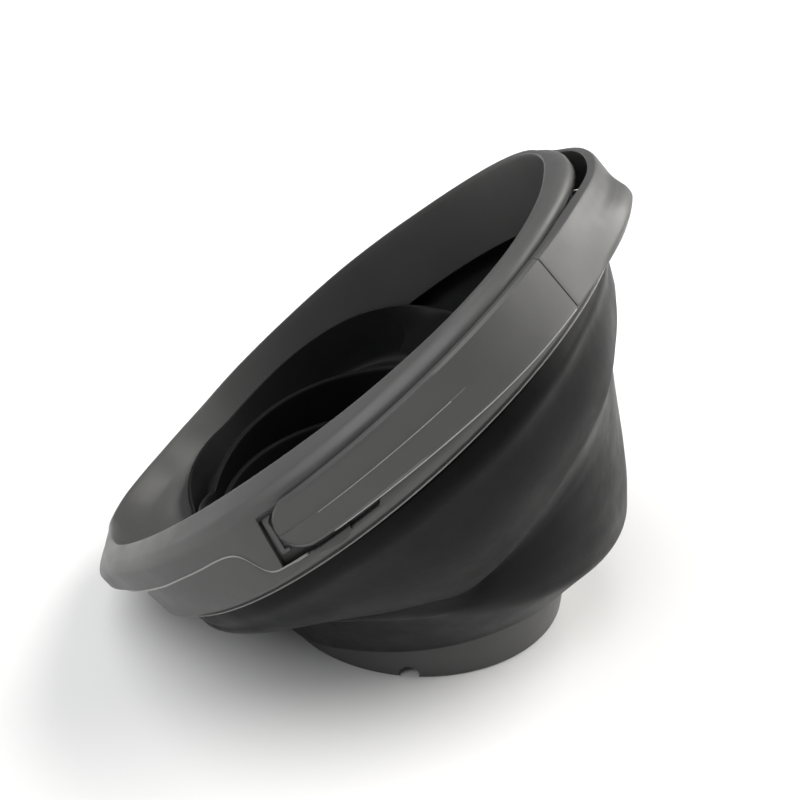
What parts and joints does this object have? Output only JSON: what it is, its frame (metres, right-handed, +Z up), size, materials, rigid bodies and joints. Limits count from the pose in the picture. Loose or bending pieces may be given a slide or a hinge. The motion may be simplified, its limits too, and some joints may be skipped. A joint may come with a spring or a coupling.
{
  "type": "portable mini washer",
  "caption": "Small folding washing tub: rigid grey mouth ring with spout and folding handle, black silicone bellows caught half folded, round base with motor, pulsator and button.",
  "frame": {"origin": "centre of the base pad's underside, on the floor", "axes": "+Z up out of the tub's floor, +X towards the handle grip, -X towards the spout"},
  "size_m": [0.2979, 0.336, 0.2586],
  "materials": {
    "grey_plastic": "fine satin grain, dark warm grey",
    "silicone": "soft black satin silicone",
    "dark_plastic": "matt, near black",
    "rubber": "matt",
    "steel": "plain zinc-plated steel",
    "board": "green solder mask"
  },
  "bodies": {
    "base": {"base_housing": "grey_plastic", "bellows": "silicone", "bellows_clamp_ring": "dark_plastic", "clamp_screw_1": "steel", "clamp_screw_2": "steel", "clamp_screw_3": "steel", "clamp_screw_4": "steel", "clamp_screw_5": "steel", "clamp_screw_6": "steel", "bottom_cover": "dark_plastic", "cover_screw_1": "steel", "cover_screw_2": "steel", "cover_screw_3": "steel", "cover_screw_4": "steel", "base_pad": "rubber", "motor": "steel", "motor_mount": "dark_plastic", "shaft_bearing": "steel", "shaft_seal": "rubber", "circuit_board": "board", "board_post_1": "dark_plastic", "board_post_2": "dark_plastic", "dc_socket": "dark_plastic", "power_switch": "dark_plastic", "button_spring": "steel"},
    "rim": {"upper_shell": "grey_plastic", "collar_ring": "grey_plastic", "handle_pin_front": "steel", "handle_pin_rear": "steel"},
    "handle": {"handle_arm_front": "grey_plastic", "handle_arm_rear": "grey_plastic", "handle_grip": "grey_plastic"},
    "catch_front": {"handle_catch_front": "grey_plastic"},
    "catch_rear": {"handle_catch_rear": "grey_plastic"},
    "pulsator": {"pulsator": "dark_plastic", "pulsator_screw": "steel", "drive_shaft": "steel"},
    "power_button": {"power_button": "dark_plastic"}
  },
  "joints": [
    {"name": "tub_fold", "type": "hinge", "parent": "base", "child": "rim", "pos_m": [-0.125, 0, 0.0515], "axis": [0, 1, 0], "range_deg": [0, 41], "deforming": ["bellows"]},
    {"name": "handle_swing", "type": "hinge", "parent": "rim", "child": "handle", "pos_m": [-0.033, 0, 0.14851], "axis": [0, -1, 0], "range_deg": [0, 105]},
    {"name": "catch_front_slide", "type": "hinge", "parent": "rim", "child": "catch_front", "pos_m": [-0.0515, 0, 0.1576], "axis": [-0.6561, 0, 0.7547], "range_deg": [0, 5.2]},
    {"name": "catch_rear_slide", "type": "hinge", "parent": "rim", "child": "catch_rear", "pos_m": [-0.0515, 0, 0.1576], "axis": [0.6561, 0, -0.7547], "range_deg": [0, 5.2]},
    {"name": "pulsator_spin", "type": "hinge", "parent": "base", "child": "pulsator", "pos_m": [0, 0, 0.04], "axis": [0, 0, 1], "continuous": true},
    {"name": "power_button_press", "type": "slide", "parent": "base", "child": "power_button", "axis": [0, -1, 0], "range_m": [0, 0.0015], "stiffness_N_per_m": 300, "springref_m": -0.002, "deforming": ["button_spring"]}
  ]
}
